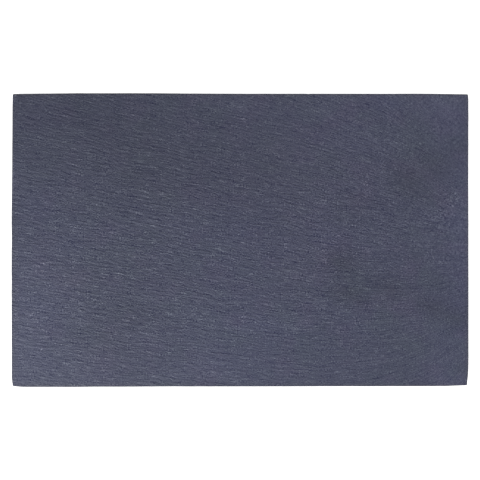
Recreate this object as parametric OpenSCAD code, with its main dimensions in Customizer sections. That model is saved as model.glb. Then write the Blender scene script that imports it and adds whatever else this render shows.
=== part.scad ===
// Slate serving tray: one riven slate slab on four self-adhesive bumper feet.
// The origin is on the table, under the middle of the tray. The long way runs along X.

/* [Slab] */
// Length of the slab, the long way
slab_length = 280; // [220:5:360]
// Width of the slab, the short way
slab_width = 180; // [140:5:240]
// Thickness of the stone
slab_thickness = 5; // [4:0.5:8]
// Width of the worn bevel along the top and bottom edges
arris = 0.6; // [0.2:0.1:1.2]
// How far the cut outline may stray in from a true rectangle
edge_stray = 1; // [0.2:0.1:2]

/* [Feet] */
// Diameter of a foot where it meets the stone
foot_diameter = 12; // [8:0.5:16]
// Height of a foot without its adhesive
foot_height = 2.5; // [2:0.25:4]
// Radius of the rolled rim round the face that a foot stands on
foot_rim = 0.8; // [0.3:0.1:1.2]
// Distance from the slab's long and short sides to the middle of a foot
foot_inset = 20; // [14:1:40]

/* [Adhesive] */
// Thickness of the adhesive disc between a foot and the stone
adhesive_thickness = 0.3; // [0.2:0.05:0.8]
// How far the adhesive disc stops short of the foot's edge
adhesive_margin = 0.4; // [0.2:0.1:1]

/* [Hidden] */
$fn = 64;
// How far cutting shapes run past what they cut
overrun = 1;

foot_radius = foot_diameter / 2;
adhesive_radius = foot_radius - adhesive_margin;
slab_bottom = foot_height + adhesive_thickness;
slab_top = slab_bottom + slab_thickness;
foot_reach_x = slab_length / 2 - foot_inset;
foot_reach_y = slab_width / 2 - foot_inset;

// The four cut edges, walked anticlockwise from the front left corner. Each point
// holds the share of the edge that has been walked and its share of edge_stray.
front_edge_shares = [
    [0, 0.6], [0.03, 0.06], [0.07, 0], [0.13, 0.02], [0.18, 0.26], [0.26, 0.3],
    [0.5, 0.37], [0.75, 0.43], [0.9, 0.52], [0.955, 0.6], [0.975, 0.86], [1, 1],
];
right_edge_shares = [
    [0, 0.78], [0.02, 0.6], [0.035, 0.32], [0.06, 0.1], [0.1, 0.02], [0.3, 0],
    [0.5, 0.06], [0.77, 0.08], [0.94, 0], [0.985, 0.07], [1, 0.3],
];
back_edge_shares = [
    [0, 0.62], [0.04, 0.51], [0.1, 0.39], [0.46, 0.38], [0.58, 0.31], [0.64, 0.21],
    [0.69, 0.09], [0.75, 0], [0.85, 0.02], [0.9, 0.24], [1, 0.44],
];
left_edge_shares = [
    [0, 0.75], [0.04, 0.5], [0.12, 0.35], [0.23, 0.18], [0.4, 0.02], [0.72, 0],
    [0.9, 0.09], [0.97, 0.2], [0.982, 0.5], [1, 0.85],
];
edge_shares = [front_edge_shares, right_edge_shares, back_edge_shares, left_edge_shares];
edge_inward = [[0, 1], [-1, 0], [0, -1], [1, 0]];
true_corners = [
    [-slab_length / 2, -slab_width / 2],
    [slab_length / 2, -slab_width / 2],
    [slab_length / 2, slab_width / 2],
    [-slab_length / 2, slab_width / 2],
];

// The corner where an edge starts, drawn in by that edge and by the one before it
function corner_point(e) =
    let (before = (e + 3) % 4, last = len(edge_shares[before]) - 1)
    true_corners[e]
        + edge_stray * edge_shares[before][last][1] * edge_inward[before]
        + edge_stray * edge_shares[e][0][1] * edge_inward[e];

// A point part of the way along an edge
function edge_point(e, i) =
    let (share = edge_shares[e][i], start = true_corners[e], end = true_corners[(e + 1) % 4])
    start + share[0] * (end - start) + edge_stray * share[1] * edge_inward[e];

outline = [
    for (e = [0:3])
        for (i = [0:len(edge_shares[e]) - 2])
            i == 0 ? corner_point(e) : edge_point(e, i)
];

// The outline drawn in on every side by a distance, at a height
function ring(inset, height) = [
    for (p = outline)
        [
            p[0] * (1 - 2 * inset / slab_length),
            p[1] * (1 - 2 * inset / slab_width),
            height,
        ]
];

// Side walls between rings that lie one above the other
function ring_walls(rings, count) = [
    for (r = [0:rings - 2])
        for (i = [0:count - 1])
            let (next = (i + 1) % count)
            [r * count + i, (r + 1) * count + i, (r + 1) * count + next, r * count + next]
];

module slate_slab() {
    count = len(outline);
    bevelled_rings = [
        ring(arris + overrun, slab_bottom - overrun),
        ring(0, slab_bottom + arris),
        ring(0, slab_top - arris),
        ring(arris + overrun, slab_top + overrun),
    ];
    top_start = (len(bevelled_rings) - 1) * count;
    // The bevels run on past the two faces, and the faces are then cut flat
    color("#4e5161")
        intersection() {
            polyhedron(
                points = [for (r = bevelled_rings) each r],
                faces = concat(
                    [[for (i = [0:count - 1]) i]],
                    ring_walls(len(bevelled_rings), count),
                    [[for (i = [count - 1:-1:0]) top_start + i]]
                )
            );
            translate([-slab_length / 2 - overrun, -slab_width / 2 - overrun, slab_bottom])
                cube([slab_length + 2 * overrun, slab_width + 2 * overrun, slab_thickness]);
        }
}

module foot() {
    color("#1b1b1d")
        rotate_extrude() {
            square([foot_radius - foot_rim, foot_height]);
            translate([0, foot_rim])
                square([foot_radius, foot_height - foot_rim]);
            translate([foot_radius - foot_rim, foot_rim])
                circle(r = foot_rim);
        }
}

module adhesive() {
    color("#d9d6cc")
        translate([0, 0, foot_height])
            cylinder(r = adhesive_radius, h = adhesive_thickness);
}

// Puts a foot or its adhesive under a corner: side is -1 left and 1 right, end is -1 front and 1 back
module under_corner(side, end) {
    translate([side * foot_reach_x, end * foot_reach_y, 0])
        children();
}

slate_slab();
under_corner(-1, -1) foot();  // foot_front_left
under_corner(1, -1) foot();  // foot_front_right
under_corner(-1, 1) foot();  // foot_back_left
under_corner(1, 1) foot();  // foot_back_right
under_corner(-1, -1) adhesive();  // adhesive_front_left
under_corner(1, -1) adhesive();  // adhesive_front_right
under_corner(-1, 1) adhesive();  // adhesive_back_left
under_corner(1, 1) adhesive();  // adhesive_back_right
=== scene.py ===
import math

import bmesh
import bpy
import numpy as np
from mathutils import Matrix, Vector, noise


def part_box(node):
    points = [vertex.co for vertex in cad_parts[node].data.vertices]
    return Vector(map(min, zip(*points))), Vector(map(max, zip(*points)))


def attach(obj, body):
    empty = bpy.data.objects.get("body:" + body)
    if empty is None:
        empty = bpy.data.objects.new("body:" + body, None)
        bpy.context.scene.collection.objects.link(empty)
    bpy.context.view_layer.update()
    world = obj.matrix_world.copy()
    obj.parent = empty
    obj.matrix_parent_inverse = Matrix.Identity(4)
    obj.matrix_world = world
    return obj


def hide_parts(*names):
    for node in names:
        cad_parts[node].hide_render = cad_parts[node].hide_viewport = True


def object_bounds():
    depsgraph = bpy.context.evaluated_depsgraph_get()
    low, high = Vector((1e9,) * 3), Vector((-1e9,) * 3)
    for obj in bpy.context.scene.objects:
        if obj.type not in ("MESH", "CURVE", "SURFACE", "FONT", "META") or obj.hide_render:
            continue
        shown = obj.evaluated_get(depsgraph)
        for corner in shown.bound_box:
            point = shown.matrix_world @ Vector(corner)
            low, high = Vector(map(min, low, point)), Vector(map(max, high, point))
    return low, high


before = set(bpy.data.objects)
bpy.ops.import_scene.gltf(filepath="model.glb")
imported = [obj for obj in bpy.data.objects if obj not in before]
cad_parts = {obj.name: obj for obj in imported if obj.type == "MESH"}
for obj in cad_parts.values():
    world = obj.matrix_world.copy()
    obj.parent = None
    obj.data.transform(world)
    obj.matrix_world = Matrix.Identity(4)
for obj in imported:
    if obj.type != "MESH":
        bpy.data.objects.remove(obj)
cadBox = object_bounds()
mm = 0.001  # lengths are written in millimetres and multiplied by this
touching = 0.001 * mm  # points closer together than this are joined
corners = ("front_left", "front_right", "back_left", "back_right")
print("frame loaded")


# Small helpers for materials and pieces

def newMaterial(name):
    material = bpy.data.materials.new(name)
    material.use_nodes = True
    material.node_tree.nodes.clear()
    return material, material.node_tree


def addNode(tree, kind, settings=None, **inputs):
    node = tree.nodes.new(kind)
    for name, value in (settings or {}).items():
        setattr(node, name, value)
    for name, value in inputs.items():
        socket = node.inputs[name.replace("_", " ")]
        if isinstance(value, bpy.types.NodeSocket):
            tree.links.new(value, socket)
        else:
            socket.default_value = value
    return node


def noiseOn(tree, coordinates, size, detail=0.0, shift=(0, 0, 0)):
    # size is one cell of the pattern in millimetres, along each axis
    placed = addNode(tree, "ShaderNodeMapping", Vector=coordinates, Location=shift,
                     Scale=[1 / (mm * cell) for cell in size])
    texture = addNode(tree, "ShaderNodeTexNoise", Vector=placed.outputs["Vector"], Scale=1.0, Detail=detail)
    return texture.outputs["Fac"]


def ranged(tree, value, low, high, to=(0.0, 1.0)):
    node = addNode(tree, "ShaderNodeMapRange", Value=value, From_Min=low, From_Max=high,
                   To_Min=to[0], To_Max=to[1])
    return node.outputs["Result"]


def fill(tree, sockets, values):
    for socket, value in zip(sockets, values):
        if isinstance(value, bpy.types.NodeSocket):
            tree.links.new(value, socket)
        else:
            socket.default_value = value


def maths(tree, operation, *values):
    node = addNode(tree, "ShaderNodeMath", {"operation": operation})
    fill(tree, node.inputs, values)
    return node.outputs["Value"]


def vectors(tree, operation, *values):
    node = addNode(tree, "ShaderNodeVectorMath", {"operation": operation})
    fill(tree, node.inputs, values)
    return node.outputs["Vector"]


def times(tree, first, second):
    return maths(tree, "MULTIPLY", first, second)


def weighted(tree, parts, middle):
    # middle plus each pattern's swing round its own mean of a half; middle may be a socket
    total = middle
    for pattern, weight in parts:
        total = maths(tree, "ADD", maths(tree, "MULTIPLY_ADD", pattern, weight, -weight / 2), total)
    return total


def blended(tree, share, first, second):
    node = addNode(tree, "ShaderNodeMix", {"data_type": "FLOAT"})
    fill(tree, (node.inputs[0], node.inputs[2], node.inputs[3]), (share, first, second))
    return node.outputs[0]


def tinted(tree, share, first, second):
    node = addNode(tree, "ShaderNodeMix", {"data_type": "RGBA"})
    fill(tree, (node.inputs[0], node.inputs[6], node.inputs[7]), (share, first, second))
    return node.outputs[2]


def finishSurface(tree, colour, roughness, height, depth, specular):
    bump = addNode(tree, "ShaderNodeBump", Height=height, Distance=depth * mm, Strength=1.0)
    shader = addNode(tree, "ShaderNodeBsdfPrincipled", Base_Color=colour, Roughness=roughness,
                     Specular_IOR_Level=specular, Normal=bump.outputs["Normal"])
    addNode(tree, "ShaderNodeOutputMaterial", Surface=shader.outputs["BSDF"])


def addPiece(name, bm, materials, node):
    mesh = bpy.data.meshes.new(name)
    bm.to_mesh(mesh)
    bm.free()
    for material in materials:
        mesh.materials.append(material)
    piece = bpy.data.objects.new(name, mesh)
    bpy.context.scene.collection.objects.link(piece)
    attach(piece, "root")
    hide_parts(node)
    print("made", name, "with", len(mesh.polygons), "faces")
    return piece


# How the cleavage grain runs over the stone, in millimetres.
# Its streaks fall gently to the right, and fan out towards the right-hand edge.

grain = {
    "fall": 0.18,         # slope of the streaks in the middle of the slab
    "fallRise": 0.0007,   # how much steeper they get per millimetre towards the back
    "fan": 0.011,         # what the fan at the right adds to that
    "fanReach": 35,       # distance over which the fan grows by e
    "bend": 0.0025,       # turns them up a little more towards the two right-hand corners
    "bendReach": 30,
    "fanAt": (126, 80),   # the place on the slab where fan and bend have these strengths
    "waver": 1.4,         # how far a streak strays from its line, and over what length
    "waverLength": 20,
    "crinkle": 0.4,       # the same for its finest kinks
    "crinkleLength": 4.5,
    "crinkleLayer": 50,   # takes the kinks from another layer of the noise than the wavering
    "traced": 160,        # the streaks are traced this far to the left and right of the middle
    "tracePoints": 641,
}
grainX = np.linspace(-grain["traced"], grain["traced"], grain["tracePoints"])


def summed(slopes):
    # the running total of a slope along grainX, nought in the middle
    total = np.cumsum(slopes) * (grainX[1] - grainX[0])
    return total - np.interp(0, grainX, total)


fanX, fanY = grain["fanAt"]
grainFan = grain["fan"] * np.exp((grainX - fanX) / grain["fanReach"])
grainStretch = np.exp(grain["fallRise"] * grainX + grain["fanReach"] * grainFan)
grainDrift = summed(grain["fall"] * grainStretch)
grainBend = summed(-grain["bend"] / fanY * np.exp((grainX - fanX) / grain["bendReach"]) * grainStretch) / 2


def alongGrain(x, y):
    # two coordinates in millimetres: along the streaks, and across them
    stretch, drift, bend = (np.interp(x, grainX, line) for line in (grainStretch, grainDrift, grainBend))
    waver = noise.noise(Vector((x, y, 0)) / grain["waverLength"]) * grain["waver"]
    crinkle = noise.noise(Vector((x, y, grain["crinkleLayer"])) / grain["crinkleLength"]) * grain["crinkle"]
    return x, y * (stretch + bend * y) + drift + waver + crinkle


# The slab

def near(x, y, px, py, radius):
    # 1 at the spot (px, py), and less away from it
    return math.exp(-((x - px) ** 2 + (y - py) ** 2) / radius ** 2)


slab = {
    "cellsLong": 254,            # faces along a riven side
    "cellsWide": 163,            # and across it
    "nearEdge": (0, 0.35, 0.9),  # finer grid lines beside the cut edges, mm in from the edge
    "arris": 0.6,                # width of the worn bevel
    "arrisSteps": ((0, 1), (0.18, 0.5), (0.42, 0.2), (0.8, 0.03)),  # shares down the edge and inwards
    "edgeRows": 6,               # rows between the two bevels
    "arrisWear": 0.35,           # share by which the bevel's width wanders
    "wearLength": 2.5,           # over this length
    "wearRise": 40,              # from the underside to the top it changes as over this length
    "corner": 0.65,              # radius of the slightly worn corners
    "ledge": 0.3,                # depth, length and height of the thin ledges on the cut edges
    "ledgeLength": 9,
    "ledgeHeight": 0.8,
    "ledgeTop": 0.6,             # share of the height above which the ledges die out
    "chip": 3.2,                 # chips broken out of the lower rim when the stone was cut
    "chipLength": 7,
    "chipRagged": (0.4, 3),      # share of their ragged detail, and how many times finer it is
    "chipLayers": (20, 90),      # layers of the noise that chips and detail are taken from
    "chipStart": 0.22,           # higher for fewer chips
    "chipReach": 2.6,            # how far in from the edge they go
    "strays": (                  # where the edges run further in than on the plain solid, or less far:
        (41.7, 90, 0.7, 0.15),   # x, y, radius and depth
        (-140, 45, 20, 0.2),
        (-140, 78, 14, 0.12),
        (-140, 0, 6, 0.15),
        (-136, -90, 10, -0.22),
        (-75, -90, 28, -0.18),
        (-20, -90, 20, -0.08),
        (25, -90, 30, -0.08),
        (-118, 90, 22, -0.13),
        (-40, 90, 36, -0.09),
        (40, 90, 45, -0.09),
        (110, 90, 18, -0.14),
        (140, -60, 28, -0.09),
    ),
    "facing": 0.9,               # a side that faces up or down at least this much is riven, not cut
    "swell": 0.5,                # slow rise and fall of the riven faces
    "swellSize": (75, 42),
    "wave": 0.07,                # long low ridges that follow the grain
    "waveSize": (46, 9),
    "ridge": 0.05,               # narrow ridges
    "ridgeSize": (13, 3),
    "ripple": 0.03,              # the finest ones that the mesh holds
    "rippleSize": (6, 1.7),
    "faceStep": 7.3,             # keep the relief of the two faces, and its four sizes, apart
    "sizeStep": 3.1,
    "footPad": 8,                # radius of the flat place above each foot
    "footFade": 10,              # the relief comes back over this distance
}
slabLow, slabHigh = (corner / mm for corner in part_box("slate_slab"))
slabSize = slabHigh - slabLow
footSpots = [sum(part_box("adhesive_" + corner), Vector()) / 2 / mm for corner in corners]


def cutEdges():
    # the four straying edges, read off the CAD slab between its two bevels
    skin = slab["arris"] / 2
    points = np.array([v.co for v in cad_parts["slate_slab"].data.vertices]) / mm
    points = points[(points[:, 2] > slabLow.z + skin) & (points[:, 2] < slabHigh.z - skin)]
    reach = 3 * slab["arris"]
    edges = []
    for axis in (0, 1):
        for beside in (points[:, axis] < slabLow[axis] + reach, points[:, axis] > slabHigh[axis] - reach):
            edge = points[beside]
            edge = edge[np.argsort(edge[:, 1 - axis])]
            edges.append((edge[:, 1 - axis], edge[:, axis]))
    return edges


def gridLines(length, count):
    # where the lines of a riven side's grid lie, as shares of the length
    close = np.array(slab["nearEdge"], float)
    middle = np.linspace(close[-1], length - close[-1], count + 1 - 2 * (len(close) - 1))
    return np.concatenate([close[:-1], middle, (length - close[:-1])[::-1]]) / length


def riven(x, y, face):
    # how far a riven face lies inside the slab, before the least of it is taken off; face is 1 or -1
    along, across = alongGrain(x, y)
    layers = (("swell", x, y), ("wave", along, across), ("ridge", along, across), ("ripple", along, across))
    depth = 0
    for number, (name, a, b) in enumerate(layers):
        length, width = slab[name + "Size"]
        layer = slab["faceStep"] * face + slab["sizeStep"] * number
        depth += slab[name] * noise.noise(Vector((a / length, b / width, layer)))
    return depth


def edgeLevels():
    # share of the height and share of the bevel for each row of the cut edge, from the underside up
    steps = slab["arrisSteps"]
    bevel = slab["arris"] / slabSize.z
    low = [(down * bevel, inward) for down, inward in steps]
    first, last = low[-1][0], 1 - low[-1][0]
    middle = [(height, 0) for height in np.linspace(first, last, slab["edgeRows"] + 1)[1:-1]]
    return low + middle + [(1 - height, inward) for height, inward in reversed(low)]


def chipped(x, y, inside):
    # how much of the lower rim is broken away, inside millimetres in from the edge
    length = slab["chipLength"]
    share, finer = slab["chipRagged"]
    chipLayer, raggedLayer = slab["chipLayers"]
    broken = noise.noise(Vector((x, y, chipLayer)) / length)
    broken += share * noise.noise(Vector((x, y, raggedLayer)) * finer / length)
    return slab["chip"] * max(broken - slab["chipStart"], 0) * max(1 - inside / slab["chipReach"], 0)


def cutInset(x, y, height, inward):
    # how far a point of a cut edge lies in from the edge of the plain solid
    worn = noise.noise(Vector((x, y, slab["wearRise"] * height)) / slab["wearLength"])
    inset = slab["arris"] * inward * (1 - slab["arrisWear"] * abs(worn))
    ledge = noise.noise(Vector((x / slab["ledgeLength"], y / slab["ledgeLength"],
                                height * slabSize.z / slab["ledgeHeight"])))
    inset += slab["ledge"] * abs(ledge) * min((1 - height) / (1 - slab["ledgeTop"]), 1)
    return inset + sum(depth * near(x, y, px, py, radius) for px, py, radius, depth in slab["strays"])


def wornCorner(low, high, otherLow, otherHigh):
    # how far a point near a corner moves along one axis as the corner is worn round, from its distances
    # to the two edges across that axis, and to the other two
    radius = slab["corner"]
    within = radius - min(low, high)
    beside = radius - min(otherLow, otherHigh)
    if min(within, beside) <= 0:
        return 0
    shift = within * (1 - max(within, beside) / math.hypot(within, beside))
    return shift if low < high else -shift


def gridBlock(rows):
    # a block of one unit each way, divided into the grid's cells and the rows of the cut edges
    bm = bmesh.new()
    bmesh.ops.create_grid(bm, x_segments=slab["cellsLong"], y_segments=slab["cellsWide"], size=0.5)
    bmesh.ops.translate(bm, verts=bm.verts, vec=(0.5, 0.5, 0))
    raised = bmesh.ops.extrude_face_region(bm, geom=bm.faces[:])["geom"]
    bmesh.ops.translate(bm, verts=[g for g in raised if isinstance(g, bmesh.types.BMVert)], vec=(0, 0, 1))
    uprights = [e for e in bm.edges if e.verts[0].co.z != e.verts[1].co.z]
    bmesh.ops.subdivide_edges(bm, edges=uprights, cuts=rows - 1, use_grid_fill=True)
    bmesh.ops.recalc_face_normals(bm, faces=bm.faces[:])
    return bm


def buildSlab():
    # moves the block's vertices to their places, but for their height, and works out the relief there
    levels = edgeLevels()
    rows = len(levels) - 1
    bm = gridBlock(rows)
    (leftAt, leftX), (rightAt, rightX), (frontAt, frontY), (backAt, backY) = cutEdges()
    columns = gridLines(slabSize.x, slab["cellsLong"])
    lines = gridLines(slabSize.y, slab["cellsWide"])
    rise = {}
    for v in bm.verts:
        column = round(v.co.x * slab["cellsLong"])
        line = round(v.co.y * slab["cellsWide"])
        row = round(v.co.z * rows)
        s, t = columns[column], lines[line]
        height, inward = levels[row]
        x, y = slabLow.x + s * slabSize.x, slabLow.y + t * slabSize.y
        rim = column in (0, slab["cellsLong"]) or line in (0, slab["cellsWide"])
        inset = cutInset(x, y, height, inward) if rim else slab["arris"] * inward
        x0 = max(np.interp(y, leftAt, leftX) + inset, slabLow.x)
        x1 = min(np.interp(y, rightAt, rightX) - inset, slabHigh.x)
        y0 = max(np.interp(x, frontAt, frontY) + inset, slabLow.y)
        y1 = min(np.interp(x, backAt, backY) - inset, slabHigh.y)
        x, y = x0 + (x1 - x0) * s, y0 + (y1 - y0) * t
        x, y = x + wornCorner(x - x0, x1 - x, y - y0, y1 - y), y + wornCorner(y - y0, y1 - y, x - x0, x1 - x)
        upright = column * len(lines) + line
        if upright not in rise:
            inside = min(x - x0, x1 - x, y - y0, y1 - y)
            rise[upright] = riven(x, y, 1), riven(x, y, -1), chipped(x, y, inside)
        v.co = (x, y, height)
        v.index = upright  # which upright of the grid this vertex is on
    return bm, rise


def settleSlab(bm, rise):
    # lowers the top face and raises the underside by their relief, flat where the feet are stuck on
    topLeast, underLeast, _ = np.min(list(rise.values()), axis=0)
    for v in bm.verts:
        top, under, chip = rise[v.index]
        spot = min((v.co.xy - foot.xy).length for foot in footSpots)
        free = min(max((spot - slab["footPad"]) / slab["footFade"], 0), 1)
        low = slabLow.z + (under - underLeast) * free * free * (3 - 2 * free) + chip
        high = slabHigh.z - (top - topLeast)
        v.co.z = low + (high - low) * v.co.z
    bm.verts.index_update()


# The stone. Its colours are linear, and its patterns have the size of one cell in millimetres.

stone = {
    "blue": (0.0508, 0.0557, 0.0918, 1),
    "green": (0.0490, 0.0566, 0.0868, 1),
    "violet": (0.0543, 0.0539, 0.0938, 1),
    "speck": ((0.9, 0.55), 2.8),    # size, and how strongly it lightens and darkens
    "dash": ((4.5, 0.9), 1.0),
    "streak": ((15, 0.58), 0.95),
    "mottle": ((1.0, 1.0), 1.5),    # takes the streaks' place where the grain fans out
    "cloud": ((48, 13), 0.15),      # slow changes along the grain
    "blotch": ((11, 9), 0.3),       # only where the mottle is
    "ridge": ((6, 1.3), 3.4),       # only in the relief
    "thread": ((48, 0.8), 0.8),     # long faint lines
    "apart": (3.1, 5.7),            # moves each pattern on from the last, so that no two are alike
    "contrast": 0.965,              # strength of all the fine patterns
    "curve": 2.4,                   # above 1 the light streaks stand out more than the dark ones
    "patchSize": (5, 2.2, 1),       # patches where the grain is stronger or weaker
    "patchNoise": (0.3, 0.7),       # between these levels of noise the strength runs through patchRange
    "patchRange": (0.3, 1.7),
    "patchFade": (0, 110, 0.5),     # they are fainter at the right: from here to there, down to this share
    "fanFrom": 45,                  # the grain loses its direction from here to there
    "fanTo": 138,
    "fanShare": (0.15, 0.75),       # share of the streaks that is lost, at the front and at the back
    "fanGain": 0.6,                 # below 1 the mottle comes sooner than the streaks go
    "mottleShare": (0.75, 1.0),     # how strong it gets, at the front and at the back
    "looseFrom": -10,               # towards the back the streaks are looser everywhere
    "loose": 0.5,                   # share of them that mottle replaces at the back edge
    "looseGain": 0.42,              # the grain is this much stronger there, away from the fan
    # places and how strong the grain is there, from left to right and from front to back
    "strengthX": ((-140, 0.86), (-100, 0.97), (20, 1.02), (62, 1.28), (95, 1.25), (140, 1.05)),
    "strengthY": ((-90, 0.78), (-72, 0.84), (-45, 0.98), (20, 1), (75, 0.96)),
    "lively": (                     # x, y, radius, gain: places where the grain is stronger or calmer
        (130, 26, 7, 0.8),
        (121, 12, 7, 0.6),
        (-90, -50, 40, 0.05),
        (45, 84, 45, -0.13),
        (30, 48, 18, -0.12),
        (136, 84, 20, -0.12),
        (75, -76, 42, -0.14),
    ),
    # broad spots where the blue gives way to green and to violet, fully so at the higher level of noise
    "greenSpots": {"size": (24, 17, 30), "shift": (4, 0, 0), "noise": (0.42, 0.7)},
    "violetSpots": {"size": (19, 16, 30), "shift": (0, 8, 0), "noise": (0.5, 0.75)},
    "spotDetail": 2.0,
    "hueShare": (0.55, 1.0),        # their strength at the left and at the right
    "rimReach": 1.3,                # along the rim the stone is a little greyer
    "rimGrey": 0.16,
    "rimRed": 0.06,
    "rimWorn": ((88, 5, 0.9), (38, 12, 0.9)),  # pale places on the left rim: y, reach, how much lighter
    "wornReach": 1.2,
    "wornGrain": 1.5,               # size of the grit that breaks them up
    "wornLayer": 9,
    "fleckCell": (7, 3.5),          # a few of these cells hold a pale fleck
    "fleckShare": 0.06,
    "fleckRadius": 0.14,            # as a share of the cell
    "fleckSoft": 3,                 # its middle, this many times smaller, is evenly pale
    "fleckGain": 0.7,
    "swing": (1.02, 0.99, 0.69),    # how much of its lightening reaches the red, green and blue
    "roughness": 0.62,
    "dashRoughness": -0.15,         # light dashes are smoother, and light mottle is rougher
    "mottleRoughness": 0.1,
    "specular": 0.3,
    "bump": 0.13,
}
# the order of the patterns sets how far each is moved on
patternNames = ("speck", "dash", "streak", "mottle", "cloud", "blotch", "ridge", "thread")
patches = (  # x, y, length along the grain, width across it, and how much lighter the colour is there; mostly the stone's own tone, but the broad ones at the back left, the front and the back right are painted shade and painted light of how the lamps fall off over the slab
    (-92, 70, 55, 34, -0.13),  # painted shade over the back left, and its tail towards the middle
    (-28, 50, 45, 24, -0.10),
    (20, 30, 28, 14, -0.05),
    (-57, 31, 30, 12, -0.07),
    (-137, 86, 9, 10, -0.11),
    (-108, 12, 30, 8, 0.03),
    (-128, -36, 20, 28, 0.10),  # the pale left end
    (-126, -70, 22, 18, 0.05),
    (-118, -44, 13, 9, 0.06),
    (-104, -4, 10, 7, 0.08),
    (-76, -61, 12, 8, -0.05),
    (-68, -46, 28, 34, -0.07),
    (-103, -24, 12, 5, -0.08),
    (0, -65, 45, 40, 0.06),     # painted light over the front, with streaks in it
    (-4, -40, 22, 5, -0.05),
    (-62, -46, 22, 6, -0.02),
    (-17, -74, 12, 8, 0.04),
    (11, -52, 14, 5, 0.05),
    (-56, -61, 12, 6, 0.04),
    (-47, -9, 15, 4, 0.04),
    (0, 4, 10, 7, 0.06),
    (62, 77, 35, 26, 0.07),     # painted light towards the back right
    (121, 87, 16, 12, 0.13),
    (88, 88, 12, 7, 0.08),
    (104, 38, 15, 12, -0.20),   # a dark band near the right end
    (122, 46, 12, 10, -0.17),
    (135, 55, 8, 9, -0.15),
    (121, 24, 10, 6, -0.07),
    (136, 8, 18, 18, 0.14),     # and a pale place in front of it
    (139, 36, 5, 14, 0.09),
    (70, 22, 11, 9, -0.06),
    (60, -12, 10, 9, -0.19),    # a row of small dark spots
    (66, -34, 15, 6, -0.17),
    (91, -29, 10, 7, -0.18),
    (117, -41, 9, 6, -0.20),
    (132, -49, 8, 6, -0.14),
    (53, 0, 11, 7, 0.12),       # and pale ones round them
    (49, -32, 8, 6, 0.06),
    (73, -50, 14, 11, 0.08),
    (109, 1, 10, 8, 0.08),
    (131, -58, 14, 8, 0.12),
    (138, -22, 8, 15, 0.10),
    (44, -62, 14, 9, 0.05),
    (85, -87, 12, 7, 0.06),
    (135, -78, 28, 26, 0.20),   # the pale front right corner
    (133, -88, 14, 8, 0.25),
)
glintsAndPaleGrains = (  # x, y, radius, and how much lighter their middle is: pale grains and chips, lighter partly as paler stone and partly as a painted glint where they catch the light
    (-137.5, 88.5, 0.8, 2.0),  # a chip at the back left corner
    (42, 89.5, 0.8, 1.5),      # and one in the back edge
    (-121.5, -67, 0.6, 3.5),
    (-125, -19, 0.6, 3.0),
    (-127, -45, 0.6, 2.5),
    (-125.5, -32, 0.6, 2.0),
    (-89.5, -74.5, 0.6, 2.5),
    (29.5, -72.5, 0.6, 2.5),
    (-1, 3.5, 0.6, 2.5),
    (10, 3, 0.6, 2.5),
    (86.5, -1, 0.6, 2.0),
    (66, 13, 0.6, 2.0),
)
hues = (  # x, y, radius, and how much redder and bluer: slow changes in its colour
    (50, 35, 40, 0.035, 0.02),
    (42, -8, 20, 0.03, 0.01),
    (72, 24, 7, 0.04, 0),
    (22, 52, 20, 0, -0.03),
    (-18, 6, 18, 0.015, 0.03),
    (70, -25, 12, -0.025, -0.045),
    (-125, 20, 14, 0, 0.03),
    (90, 20, 90, 0, 0.03),
    (10, -50, 60, -0.01, 0.02),
    (29, -28, 12, 0.03, 0),
    (0, 88, 12, 0.03, 0.04),
    (93, 88, 12, 0, 0.05),
    (125, 78, 12, -0.03, 0),
    (113, 0, 10, 0.035, 0.02),
    (146, 60, 25, 0, 0.09),
    (146, 18, 25, 0, 0.05),
    (146, -35, 25, 0.02, 0.07),
)


def between(value, low, high):
    return min(max((value - low) / (high - low), 0), 1)


def grainShares(x, y):
    # how strong the streaks, the mottle that takes their place, and the changes of hue are at one place
    strength = np.interp(x, *zip(*stone["strengthX"])) * np.interp(y, *zip(*stone["strengthY"]))
    strength *= 1 + sum(gain * near(x, y, px, py, radius) for px, py, radius, gain in stone["lively"])
    reach = between(x, stone["fanFrom"], stone["fanTo"])
    back = between(y, slabLow.y, slabHigh.y)
    behind = between(y, stone["looseFrom"], slabHigh.y)
    strength *= 1 + stone["looseGain"] * behind * (1 - reach) ** 2
    loose = stone["loose"] * behind
    lost = max(reach * np.interp(back, (0, 1), stone["fanShare"]), loose)
    gained = max(reach ** stone["fanGain"] * np.interp(back, (0, 1), stone["mottleShare"]), loose)
    hue = np.interp(x, (slabLow.x, slabHigh.x), stone["hueShare"])
    return strength * (1 - lost), strength * gained, hue


def toneWithPaintedLight(x, y):
    # factors for the red, green and blue at one place: the stone's own tone, hue and worn rim, with the
    # painted light and shade of the broad patches
    tone = red = blue = 1
    for px, py, length, width, lighter in patches:
        along = (x - px) / length
        across = (y - py + grain["fall"] * (x - px)) / width
        tone += lighter * math.exp(-along ** 2 - across ** 2)
    for py, reach, lighter in stone["rimWorn"]:
        wear = 1 + noise.noise(Vector((x, y, stone["wornLayer"])) / stone["wornGrain"])
        tone += lighter * wear * math.exp(-((y - py) / reach) ** 2 - (x - slabLow.x) / stone["wornReach"])
    for px, py, radius, redder, bluer in hues:
        share = near(x, y, px, py, radius)
        red += redder * share
        blue += bluer * share
    rim = min(x - slabLow.x, slabHigh.x - x, y - slabLow.y, slabHigh.y - y)
    atRim = math.exp(-max(rim, 0) / stone["rimReach"])
    blue -= stone["rimGrey"] * atRim
    red += stone["rimRed"] * atRim
    return tone * red, tone, tone * blue


def rivenPattern(tree, coordinates, name):
    # one of the stone's patterns, and how strong it is
    (length, width), swing = stone[name]
    number = patternNames.index(name)
    shift = [step * number for step in stone["apart"]]
    return noiseOn(tree, coordinates, (length, width, width), shift=(*shift, 0)), swing


def hueSpots(tree, place, name, strength):
    spots = stone[name]
    pattern = noiseOn(tree, place, spots["size"], stone["spotDetail"], shift=spots["shift"])
    return times(tree, ranged(tree, pattern, *spots["noise"]), strength)


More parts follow.
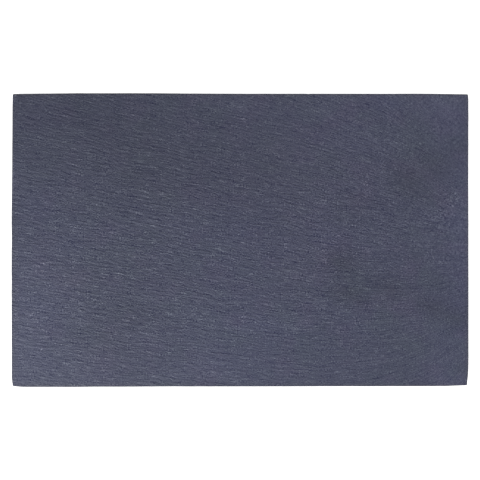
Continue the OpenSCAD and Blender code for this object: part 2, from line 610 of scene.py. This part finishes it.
def flecks(tree, streaky):
    # 1 on small pale grains that lie here and there in the stone
    scale = [1 / (mm * size) for size in stone["fleckCell"]]
    placed = addNode(tree, "ShaderNodeMapping", Vector=streaky, Scale=(*scale, 1))
    cells = addNode(tree, "ShaderNodeTexVoronoi", {"voronoi_dimensions": "2D"},
                    Vector=placed.outputs["Vector"], Scale=1.0).outputs
    chosen = addNode(tree, "ShaderNodeSeparateColor", Color=cells["Color"]).outputs["Red"]
    middle = ranged(tree, cells["Distance"], stone["fleckRadius"], stone["fleckRadius"] / stone["fleckSoft"])
    return times(tree, middle, maths(tree, "LESS_THAN", chosen, stone["fleckShare"]))


def grainAndGlintLightening(tree, place):
    # how much lighter each pale grain makes the place it lies in, partly paler stone and partly a painted
    # glint
    flat = vectors(tree, "MULTIPLY", place, (1, 1, 0))
    total = 0.0
    for x, y, radius, lighter in glintsAndPaleGrains:
        away = addNode(tree, "ShaderNodeVectorMath", {"operation": "DISTANCE"})
        fill(tree, away.inputs, (flat, (x * mm, y * mm, 0)))
        total = maths(tree, "ADD", ranged(tree, away.outputs["Value"], radius * mm, 0, (0, lighter)), total)
    return total


def rivenSlate():
    material, tree = newMaterial("riven_slate")
    streaky = addNode(tree, "ShaderNodeUVMap", {"uv_map": "grain"}).outputs["UV"]
    place = addNode(tree, "ShaderNodeTexCoord").outputs["Object"]
    tone = addNode(tree, "ShaderNodeAttribute", {"attribute_name": "tone"}).outputs["Vector"]
    spot = addNode(tree, "ShaderNodeSeparateXYZ", Vector=place).outputs
    shares = addNode(tree, "ShaderNodeAttribute", {"attribute_name": "grainShares"}).outputs["Vector"]
    share = addNode(tree, "ShaderNodeSeparateXYZ", Vector=shares).outputs  # X streaks, Y mottle, Z hue

    # the fine patterns: lines along the grain, and mottle where it has no direction
    speck, dash, streak, thread = (
        rivenPattern(tree, streaky, name) for name in ("speck", "dash", "streak", "thread"))
    cloud, ridge = (rivenPattern(tree, streaky, name) for name in ("cloud", "ridge"))
    mottle, blotch = (rivenPattern(tree, place, name) for name in ("mottle", "blotch"))
    lined = weighted(tree, (speck, dash, streak, thread), 0.0)
    mottled = weighted(tree, (mottle, blotch), 0.0)
    relief = maths(tree, "ADD", times(tree, lined, share["X"]), times(tree, mottled, share["Y"]))

    # how much they lighten and darken the stone's colour: partly its own grain, partly painted light and
    # shade of the same relief that the bump raises, the light dashes standing for tiny steps that catch the
    # light
    patch = noiseOn(tree, streaky, stone["patchSize"])
    patch = ranged(tree, patch, *stone["patchNoise"], stone["patchRange"])
    fadeFrom, fadeTo, faded = stone["patchFade"]
    patch = blended(tree, ranged(tree, spot["X"], fadeFrom * mm, fadeTo * mm, (1, faded)), 1.0, patch)
    contrast = times(tree, patch, stone["contrast"])
    change = weighted(tree, (cloud,), times(tree, relief, contrast))
    swing = maths(tree, "POWER", maths(tree, "MULTIPLY_ADD", change, 1 / stone["curve"], 1), stone["curve"])
    swing = maths(tree, "ADD", swing, times(tree, flecks(tree, streaky), stone["fleckGain"]))
    swing = maths(tree, "ADD", swing, grainAndGlintLightening(tree, place))
    spread = vectors(tree, "MULTIPLY_ADD", swing, stone["swing"], [1 - part for part in stone["swing"]])

    # its hue, and the finished surface
    tint = tinted(tree, hueSpots(tree, place, "greenSpots", share["Z"]), stone["blue"], stone["green"])
    tint = tinted(tree, hueSpots(tree, place, "violetSpots", share["Z"]), tint, stone["violet"])
    colour = vectors(tree, "MULTIPLY", vectors(tree, "MULTIPLY", tint, spread), tone)
    height = maths(tree, "ADD", relief, times(tree, weighted(tree, (ridge,), 0.0), share["X"]))
    roughness = weighted(tree, ((dash[0], stone["dashRoughness"]), (mottle[0], stone["mottleRoughness"])),
                         stone["roughness"])
    finishSurface(tree, colour, roughness, height, stone["bump"], stone["specular"])
    return material


cut = {  # the cut edges
    "dark": (0.036, 0.037, 0.049, 1),
    "pale": (0.070, 0.072, 0.086, 1),
    # patterns, and how strong each is in the colour and in the relief
    "leaves": {"size": (22, 22, 0.22), "detail": 2.0, "shift": (0, 0, 0), "tint": 1.3, "depth": 1.6},
    "beds": {"size": (40, 40, 0.9), "detail": 0.0, "shift": (0, 5, 0), "tint": 0.5, "depth": 0.6},
    "grit": {"size": (0.5, 0.5, 0.4), "detail": 2.0, "shift": (0, 0, 0), "tint": 0.7, "depth": 0.7},
    "paleFrom": (0.3, 0.75),  # between these levels of theirs the colour runs from dark to pale
    "roughness": 0.75,
    "specular": 0.3,
    "bump": 0.16,
}


def cutSlate():
    material, tree = newMaterial("cut_slate")
    place = addNode(tree, "ShaderNodeTexCoord").outputs["Object"]
    tints, depths = [], []
    for layer in (cut["leaves"], cut["beds"], cut["grit"]):
        pattern = noiseOn(tree, place, layer["size"], layer["detail"], shift=layer["shift"])
        tints.append((pattern, layer["tint"]))
        depths.append((pattern, layer["depth"]))
    paleness = ranged(tree, weighted(tree, tints, 0.5), *cut["paleFrom"])
    colour = tinted(tree, paleness, cut["dark"], cut["pale"])
    height = weighted(tree, depths, 0.5)
    finishSurface(tree, colour, cut["roughness"], height, cut["bump"], cut["specular"])
    return material


def layGrain(bm):
    # gives the riven and the cut sides their materials, and the vertices their place in the grain
    layer = bm.loops.layers.uv.new("grain")
    grainAt = [alongGrain(v.co.x, v.co.y) for v in bm.verts]
    for face in bm.faces:
        face.smooth = True
        face.normal_update()
        face.material_index = 0 if abs(face.normal.z) > slab["facing"] else 1
        for loop in face.loops:
            along, across = grainAt[loop.vert.index]
            loop[layer].uv = (along * mm, across * mm)


def storeOnPoints(piece, name, valuesAt):
    spots = [(v.co.x / mm, v.co.y / mm) for v in piece.data.vertices]
    layer = piece.data.attributes.new(name, "FLOAT_VECTOR", "POINT")
    layer.data.foreach_set("vector", np.ravel([valuesAt(x, y) for x, y in spots]))


bm, rise = buildSlab()
settleSlab(bm, rise)
print("slab shaped")
layGrain(bm)
for v in bm.verts:
    v.co *= mm
slabPiece = addPiece("riven_slab", bm, (rivenSlate(), cutSlate()), "slate_slab")
storeOnPoints(slabPiece, "tone", toneWithPaintedLight)
storeOnPoints(slabPiece, "grainShares", grainShares)


# Feet and their adhesive discs

foot = {
    "steps": 72,           # faces round a foot, and round its disc
    "rim": 0.8,            # radius of the rolled rim
    "rimSteps": 8,
    "shoulder": 0.15,      # small round at the top
    "shoulderSteps": 3,
    "gate": (0.7, 0.12),   # radius and depth of the moulding mark under the foot
    "gateFloor": 0.7,      # share of its radius that is flat
    "flat": 0.98,          # faces that look up or down at least this much aren't smoothed
    "colour": (0.013, 0.013, 0.014, 1),
    "worn": (0.028, 0.028, 0.029, 1),
    "dust": (3, 3, 1.5),   # size of the dusty places
    "dustNoise": (0.5, 0.75),
    "dustDetail": 3.0,
    "stipple": (0.25, 0.25, 0.25),
    "stippleDetail": 2.0,
    "stippleRoughness": 0.2,
    "roughness": 0.6,
    "specular": 0.4,
    "bump": 0.03,
}
adhesive = {
    "inner": 0.9,          # share of the radius where the flat faces end
    "wallRows": 3,
    "fray": 0.08,          # how far the wall is frayed, and over what length
    "frayLength": 0.4,
    "frayFrom": 0.95,      # share of the radius from which it is
    "colour": (0.60, 0.58, 0.52, 1),
    "shade": (0.42, 0.40, 0.34, 1),
    "cell": (0.12, 0.12, 0.12),
    "cellNoise": (0.35, 0.65),
    "cellDetail": 2.0,
    "roughness": 0.8,
    "specular": 0.3,
    "bump": 0.05,
}


def spun(profile, centre, steps):
    # turns a profile of (radius, height) points, from the axis out and back to it, into a closed solid
    bm = bmesh.new()
    verts = [bm.verts.new((centre.x + radius, centre.y, height)) for radius, height in profile]
    edges = [bm.edges.new(pair) for pair in zip(verts, verts[1:])]
    bmesh.ops.spin(bm, geom=verts + edges, cent=(centre.x, centre.y, 0), axis=(0, 0, 1), dvec=(0, 0, 0),
                   angle=2 * math.pi, steps=steps, use_merge=True)
    bmesh.ops.remove_doubles(bm, verts=bm.verts[:], dist=touching)
    bmesh.ops.recalc_face_normals(bm, faces=bm.faces[:])
    return bm


def arc(centreRadius, centreHeight, radius, start, end, steps):
    angles = [math.radians(start + (end - start) * i / steps) for i in range(steps + 1)]
    return [(centreRadius + radius * math.cos(a), centreHeight + radius * math.sin(a)) for a in angles]


def rubber():
    material, tree = newMaterial("foot_rubber")
    place = addNode(tree, "ShaderNodeTexCoord").outputs["Object"]
    stipple = noiseOn(tree, place, foot["stipple"], foot["stippleDetail"])
    dust = ranged(tree, noiseOn(tree, place, foot["dust"], foot["dustDetail"]), *foot["dustNoise"])
    colour = tinted(tree, dust, foot["colour"], foot["worn"])
    roughness = weighted(tree, ((stipple, foot["stippleRoughness"]),), foot["roughness"])
    finishSurface(tree, colour, roughness, stipple, foot["bump"], foot["specular"])
    return material


def foam():
    material, tree = newMaterial("adhesive_foam")
    place = addNode(tree, "ShaderNodeTexCoord").outputs["Object"]
    cells = noiseOn(tree, place, adhesive["cell"], adhesive["cellDetail"])
    paleness = ranged(tree, cells, *adhesive["cellNoise"])
    colour = tinted(tree, paleness, adhesive["shade"], adhesive["colour"])
    finishSurface(tree, colour, adhesive["roughness"], cells, adhesive["bump"], adhesive["specular"])
    return material


def bumper(low, high):
    centre, radius = (low + high) / 2, (high.x - low.x) / 2
    rim, shoulder = foot["rim"] * mm, foot["shoulder"] * mm
    gateRadius, gateDepth = (size * mm for size in foot["gate"])
    gateTop = low.z + gateDepth
    profile = [(0, gateTop), (gateRadius * foot["gateFloor"], gateTop), (gateRadius, low.z)]
    profile += arc(radius - rim, low.z + rim, rim, -90, 0, foot["rimSteps"])
    profile += arc(radius - shoulder, high.z - shoulder, shoulder, 0, 90, foot["shoulderSteps"])
    bm = spun(profile + [(0, high.z)], centre, foot["steps"])
    for face in bm.faces:
        face.smooth = abs(face.normal.z) < foot["flat"]
    return bm


def foamDisc(low, high):
    centre, radius = (low + high) / 2, (high.x - low.x) / 2
    inner, rows = radius * adhesive["inner"], adhesive["wallRows"]
    wall = [(radius, low.z + (high.z - low.z) * i / rows) for i in range(rows + 1)]
    bm = spun([(0, low.z), (inner, low.z)] + wall + [(inner, high.z), (0, high.z)], centre, foot["steps"])
    for v in bm.verts:
        out = v.co - Vector((centre.x, centre.y, v.co.z))
        if out.length > radius * adhesive["frayFrom"]:
            frayed = abs(noise.noise(v.co / (adhesive["frayLength"] * mm)))
            v.co -= out.normalized() * adhesive["fray"] * mm * frayed
    return bm


rubberMaterial, foamMaterial = rubber(), foam()
for corner in corners:
    footNode, discNode = "foot_" + corner, "adhesive_" + corner
    addPiece("bumper_" + corner, bumper(*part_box(footNode)), (rubberMaterial,), footNode)
    addPiece("foam_disc_" + corner, foamDisc(*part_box(discNode)), (foamMaterial,), discNode)


# Floor, light and camera

studio = {
    "floorSize": 4.0,        # metres, as are the places and sizes of the lamps
    "floorColour": (0.8, 0.8, 0.8, 1),
    "floorGlow": 0.8,        # for what the camera sees
    "underGlow": 0.35,       # for the light that reaches the underside
    "gapReach": 30,          # how far the slab's underside darkens the floor, mm; beneath it the floor's glow is dimmed, a painted shadow
    "gapOpen": (0.1, 0.45),  # the glow comes back between these shares of open sky
    "gapSamples": 8,
    "worldLevel": 0.3,       # of the light on the object
    "worldSeen": 1.0,        # of the backdrop that the camera sees
    "keyAt": (-0.33, -0.38, 0.32),
    "keySize": 0.3,
    "keyPower": 3.4,
    "fillAt": (0.48, 0.12, 0.34),
    "fillSize": 0.3,
    "fillPower": 1.3,
}


def directlySeen(tree):
    # 1 for rays that come from the camera, straight or by a mirror or glass
    path = addNode(tree, "ShaderNodeLightPath").outputs
    seen = maths(tree, "MAXIMUM", path["Is Camera Ray"], path["Is Glossy Ray"])
    return maths(tree, "MAXIMUM", seen, path["Is Transmission Ray"])


def floorSurface():
    # matte and softly glowing from above, and clear from below
    material, tree = newMaterial("studio_floor")
    under = addNode(tree, "ShaderNodeNewGeometry").outputs["Backfacing"]
    seen = directlySeen(tree)
    matte = addNode(tree, "ShaderNodeBsdfDiffuse", Color=studio["floorColour"])
    # beneath the slab the glow that the camera sees is dimmed by ambient occlusion: painted shadow added to
    # the real one
    sky = addNode(tree, "ShaderNodeAmbientOcclusion", {"samples": studio["gapSamples"]},
                  Distance=studio["gapReach"] * mm)
    shown = ranged(tree, sky.outputs["AO"], *studio["gapOpen"], (0, studio["floorGlow"]))
    straight = addNode(tree, "ShaderNodeLightPath").outputs["Is Camera Ray"]
    level = blended(tree, seen, studio["underGlow"], blended(tree, straight, studio["floorGlow"], shown))
    glow = addNode(tree, "ShaderNodeEmission", Strength=level)
    lit = addNode(tree, "ShaderNodeAddShader")
    tree.links.new(matte.outputs["BSDF"], lit.inputs[0])
    tree.links.new(glow.outputs["Emission"], lit.inputs[1])
    clear = addNode(tree, "ShaderNodeBsdfTransparent")
    sided = addNode(tree, "ShaderNodeMixShader")
    tree.links.new(under, sided.inputs[0])
    tree.links.new(lit.outputs["Shader"], sided.inputs[1])
    tree.links.new(clear.outputs["BSDF"], sided.inputs[2])
    addNode(tree, "ShaderNodeOutputMaterial", Surface=sided.outputs["Shader"])
    material.cycles.emission_sampling = "NONE"
    return material


def buildFloor():
    bm = bmesh.new()
    bmesh.ops.create_grid(bm, x_segments=1, y_segments=1, size=studio["floorSize"] / 2)
    mesh = bpy.data.meshes.new("floor")
    bm.to_mesh(mesh)
    bm.free()
    mesh.materials.append(floorSurface())
    floor = bpy.data.objects.new("floor", mesh)
    bpy.context.scene.collection.objects.link(floor)


def buildWorld():
    world = bpy.data.worlds.new("studio")
    world.use_nodes = True
    tree = world.node_tree
    tree.nodes.clear()
    level = blended(tree, directlySeen(tree), studio["worldLevel"], studio["worldSeen"])
    sky = addNode(tree, "ShaderNodeBackground", Color=(1, 1, 1, 1), Strength=level)
    addNode(tree, "ShaderNodeOutputWorld", Surface=sky.outputs["Background"])
    bpy.context.scene.world = world


def addLamp(name):
    lamp = bpy.data.lights.new(name, "AREA")
    lamp.shape, lamp.size, lamp.energy = "DISK", studio[name + "Size"], studio[name + "Power"]
    holder = bpy.data.objects.new(name, lamp)
    holder.location = studio[name + "At"]
    holder.rotation_euler = (-Vector(studio[name + "At"])).to_track_quat("-Z", "Y").to_euler()
    holder.visible_camera = False
    bpy.context.scene.collection.objects.link(holder)


view = {  # all in millimetres
    "lens": 100,
    "sensor": 36,
    "across": 293.7,     # what the square picture spans at the serving face
    "aim": (0.0, 0.07),  # the place that the camera is straight above
}


def addCamera():
    data = bpy.data.cameras.new("overhead")
    data.lens, data.sensor_width = view["lens"], view["sensor"]
    camera = bpy.data.objects.new("overhead", data)
    above = view["across"] * mm * view["lens"] / view["sensor"]
    camera.location = (view["aim"][0] * mm, view["aim"][1] * mm, cadBox[1].z + above)
    bpy.context.scene.collection.objects.link(camera)
    bpy.context.scene.camera = camera


buildFloor()
buildWorld()
addLamp("key")
addLamp("fill")
addCamera()
bpy.context.scene.view_settings.view_transform = "Standard"
print("studio ready")
